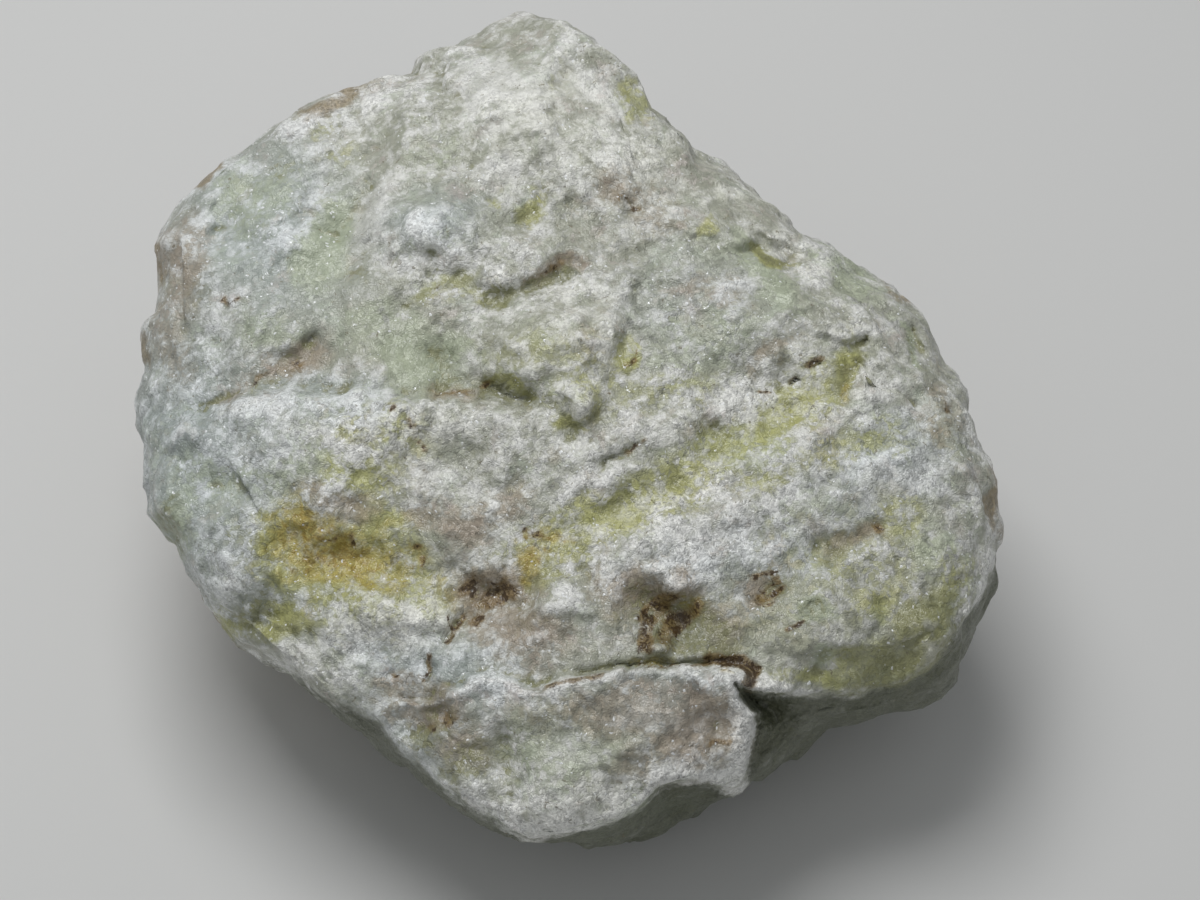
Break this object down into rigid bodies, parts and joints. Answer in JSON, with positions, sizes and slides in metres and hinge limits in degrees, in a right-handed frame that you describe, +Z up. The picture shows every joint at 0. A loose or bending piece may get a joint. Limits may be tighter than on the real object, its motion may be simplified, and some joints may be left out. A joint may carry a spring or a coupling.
{
  "type": "raw datolite stone",
  "caption": "Rough, broken hand specimen of granular pale green datolite: one lumpy piece with ledges and pits, resting on a flat break.",
  "frame": {"origin": "on the surface the stone rests on, under the middle of its bounding box", "axes": "+Z up, away from the flat break it rests on; the broken face looks up and towards -Y; +X to the right of someone who looks at that face"},
  "size_m": [0.0718, 0.0716, 0.0401],
  "materials": {
    "datolite": "granular, waxy in its green areas"
  },
  "bodies": {
    "root": {"datolite_stone": "datolite"}
  },
  "joints": []
}
